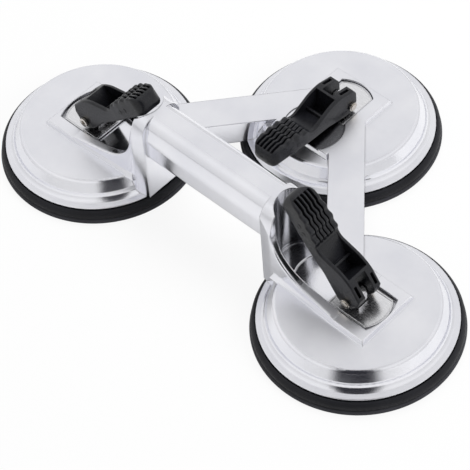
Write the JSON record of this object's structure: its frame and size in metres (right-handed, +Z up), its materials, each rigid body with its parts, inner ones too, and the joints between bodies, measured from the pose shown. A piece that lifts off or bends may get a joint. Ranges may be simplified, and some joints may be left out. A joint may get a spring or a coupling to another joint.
{
  "type": "floor tile suction lifter",
  "caption": "Hand lifter for smooth tiles and panels: a cast frame with an arched handle, rubber suction pads and black cam levers that pull the pads up.",
  "frame": {"origin": "on the floor, under the middle of the bounding box", "axes": "+X along the handle, +Y towards the rear cup, +Z up"},
  "size_m": [0.322, 0.22, 0.0828],
  "materials": {
    "cast_aluminium": "polished cast aluminium",
    "pad_rubber": "matte moulded rubber",
    "lever_plastic": "fine-grained moulded plastic",
    "plate_steel": "bright rolled steel",
    "pin_nickel": "nickel plated steel"
  },
  "bodies": {
    "frame": {"cast_frame": "cast_aluminium", "right_pad": "pad_rubber", "right_wear_plate": "plate_steel", "left_pad": "pad_rubber", "left_wear_plate": "plate_steel", "rear_pad": "pad_rubber", "rear_wear_plate": "plate_steel"},
    "right_puller": {"right_core_plate": "plate_steel", "right_pull_lug": "plate_steel", "right_hinge_pin": "pin_nickel", "right_pin_clip": "pin_nickel"},
    "right_lever_arm": {"right_lever": "lever_plastic"},
    "left_puller": {"left_core_plate": "plate_steel", "left_pull_lug": "plate_steel", "left_hinge_pin": "pin_nickel", "left_pin_clip": "pin_nickel"},
    "left_lever_arm": {"left_lever": "lever_plastic"},
    "rear_puller": {"rear_core_plate": "plate_steel", "rear_pull_lug": "plate_steel", "rear_hinge_pin": "pin_nickel", "rear_pin_clip": "pin_nickel"},
    "rear_lever_arm": {"rear_lever": "lever_plastic"}
  },
  "joints": [
    {"name": "right_lift", "type": "slide", "parent": "frame", "child": "right_puller", "axis": [0, 0, 1], "range_m": [0, 0.0063], "deforming": ["right_pad"]},
    {"name": "right_lever_turn", "type": "hinge", "parent": "right_puller", "child": "right_lever_arm", "pos_m": [0.101, -0.05, 0.03], "axis": [0, 1, 0], "range_deg": [0, 124.5]},
    {"name": "left_lift", "type": "slide", "parent": "frame", "child": "left_puller", "axis": [0, 0, 1], "range_m": [0, 0.0063], "deforming": ["left_pad"]},
    {"name": "left_lever_turn", "type": "hinge", "parent": "left_puller", "child": "left_lever_arm", "pos_m": [-0.101, -0.05, 0.03], "axis": [0, -1, 0], "range_deg": [0, 130.5]},
    {"name": "rear_lift", "type": "slide", "parent": "frame", "child": "rear_puller", "axis": [0, 0, 1], "range_m": [0, 0.0063], "deforming": ["rear_pad"]},
    {"name": "rear_lever_turn", "type": "hinge", "parent": "rear_puller", "child": "rear_lever_arm", "pos_m": [0, 0.05, 0.03], "axis": [-1, 0, 0], "range_deg": [0, 167.5]}
  ],
  "couplings": [
    {"joint": "right_lever_turn", "follows": "right_lift", "rad_per_m": 343.52},
    {"joint": "left_lever_turn", "follows": "left_lift", "rad_per_m": 360.15},
    {"joint": "rear_lever_turn", "follows": "rear_lift", "rad_per_m": 462.65}
  ]
}
